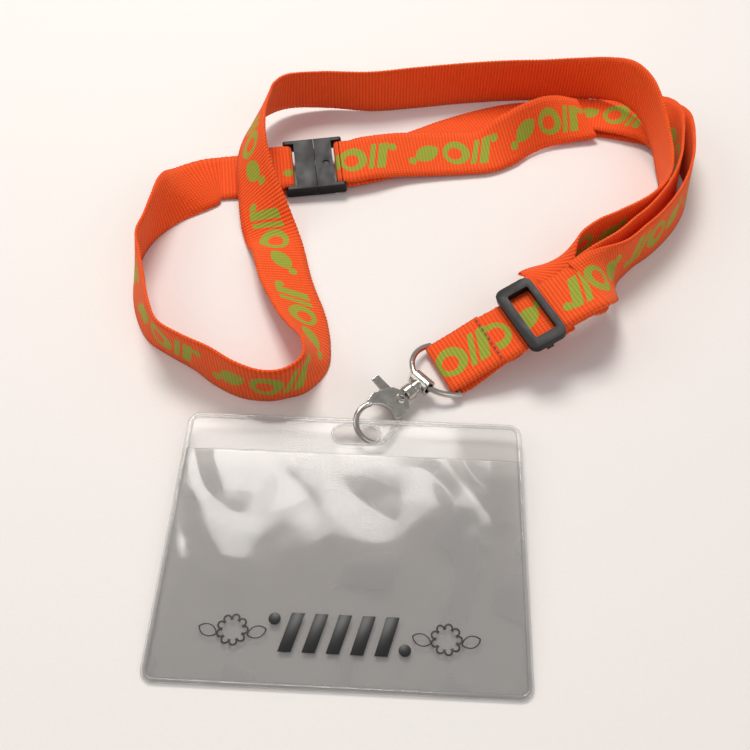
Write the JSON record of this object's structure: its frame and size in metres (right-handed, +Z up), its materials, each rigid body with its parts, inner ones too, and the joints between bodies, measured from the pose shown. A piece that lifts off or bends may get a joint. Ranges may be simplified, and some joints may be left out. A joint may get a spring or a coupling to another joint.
{
  "type": "lanyard badge holder",
  "caption": "Flat neck lanyard with webbing slider, safety release buckle, D-ring and swivel snap hook, carrying a clear vinyl pouch for a landscape card.",
  "frame": {"origin": "on the table under the middle of the pouch and hook together, at the lowest point of what lies on the table", "axes": "+Z up from the table, +X along the pouch's width to the viewer's right, +Y up the pouch from its bottom edge towards the hanging slot and the neck loop"},
  "size_m": [0.2113, 0.2639, 0.0298],
  "materials": {
    "webbing": null,
    "stitching": "dark red-brown lock stitches",
    "black_plastic": "moulded black plastic, soft gloss",
    "nickel": "bright nickel-plated zinc and steel wire",
    "spring_steel": "plain spring wire",
    "clear_vinyl": "clear soft PVC sheet, glossy, slightly wavy, tacking to itself in patches",
    "black_print": "solid black screen print",
    "outline_print": "thin black outline screen print"
  },
  "bodies": {
    "strap": {"strap_neck": "webbing", "strap_run": "webbing", "strap_return": "webbing", "dring_stitch": "stitching", "buckle_socket": "black_plastic"},
    "slider": {"slider": "black_plastic", "strap_slider_loop": "webbing", "slider_stitch": "stitching"},
    "buckle_plug": {"buckle_plug": "black_plastic", "strap_buckle_fold": "webbing", "buckle_stitch": "stitching"},
    "d_ring": {"d_ring": "nickel"},
    "swivel_head": {"swivel_head": "nickel", "swivel_post": "nickel"},
    "hook": {"hook_body": "nickel", "gate_rivet": "nickel", "gate_spring": "spring_steel"},
    "gate": {"gate_lever": "nickel"},
    "pouch": {"pouch_back": "clear_vinyl", "pouch_front": "clear_vinyl", "pouch_rim": "clear_vinyl", "slot_weld": "clear_vinyl", "print_centre": "black_print", "print_left": "outline_print", "print_right": "outline_print"}
  },
  "joints": [
    {"name": "slider_travel", "type": "slide", "parent": "strap", "child": "slider", "axis": [0.8521, 0.4342, 0.2924], "range_m": [-0.005, 0.004]},
    {"name": "buckle_release", "type": "slide", "parent": "strap", "child": "buckle_plug", "axis": [-0.9865, -0.1598, -0.0349], "range_m": [0, 0.008]},
    {"name": "d_ring_swing", "type": "hinge", "parent": "strap", "child": "d_ring", "pos_m": [0.0292, 0.0554, 0.0027], "axis": [-0.454, 0.891, 0], "range_deg": [-8, 70]},
    {"name": "head_tilt", "type": "hinge", "parent": "d_ring", "child": "swivel_head", "pos_m": [0.02151, 0.04757, 0.00539], "axis": [0.7071, -0.7071, 0], "range_deg": [-30, 30]},
    {"name": "hook_swivel", "type": "hinge", "parent": "swivel_head", "child": "hook", "pos_m": [0.02151, 0.04757, 0.00539], "axis": [0.7071, 0.7071, 0], "range_deg": [-150, 150]},
    {"name": "gate_open", "type": "hinge", "parent": "hook", "child": "gate", "pos_m": [0.01468, 0.0404, 0.00529], "axis": [-0.2876, 0.2876, -0.9135], "range_deg": [0, 5], "stiffness_Nm_per_rad": 0.02, "springref_deg": -20.05},
    {"name": "pouch_swing", "type": "hinge", "parent": "hook", "child": "pouch", "pos_m": [0.0072, 0.03105, 0.0047], "axis": [0.2876, -0.2876, 0.9135], "range_deg": [-10, 15]}
  ]
}
